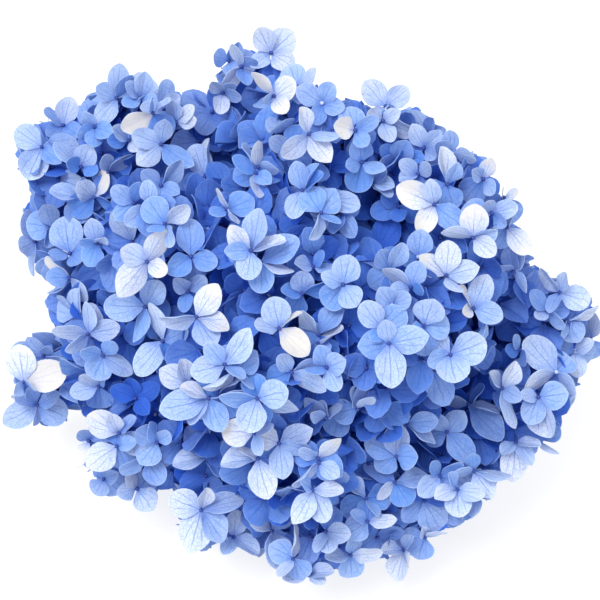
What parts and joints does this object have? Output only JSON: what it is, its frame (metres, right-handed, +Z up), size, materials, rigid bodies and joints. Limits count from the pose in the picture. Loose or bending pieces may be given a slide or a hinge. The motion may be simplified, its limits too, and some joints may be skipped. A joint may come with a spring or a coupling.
{
  "type": "cut hydrangea head",
  "caption": "Cut, preserved mophead hydrangea lying on a surface: a lumpy dome of blue florets in sprays, on a short woody stem that branches behind it.",
  "frame": {"origin": "middle of the footprint, on the surface that the head lies on", "axes": "+Z up, +X across the head, the dome leans towards -Y and the cut end of the stem lies on the surface towards +Y"},
  "size_m": [0.265, 0.246, 0.1987],
  "materials": {
    "sepals": "matte",
    "stem": "matte"
  },
  "bodies": {
    "root": {"spray_01_top": "sepals", "spray_02_upper": "sepals", "spray_03_top_right": "sepals", "spray_04_right_upper": "sepals", "spray_05_right": "sepals", "spray_06_right_lower": "sepals", "spray_07_lower_right": "sepals", "spray_08_bottom": "sepals", "spray_09_bottom_left": "sepals", "spray_10_left_lower": "sepals", "spray_11_left_stray": "sepals", "spray_12_left": "sepals", "spray_13_left_upper": "sepals", "spray_14_upper_left": "sepals", "spray_15_inner_left": "sepals", "spray_16_inner_upper": "sepals", "spray_17_inner": "sepals", "spray_18_inner_right": "sepals", "spray_19_inner_low": "sepals", "spray_20_valley_left": "sepals", "spray_21_valley_low": "sepals", "spray_22_valley_right": "sepals", "stem": "stem"}
  },
  "joints": []
}
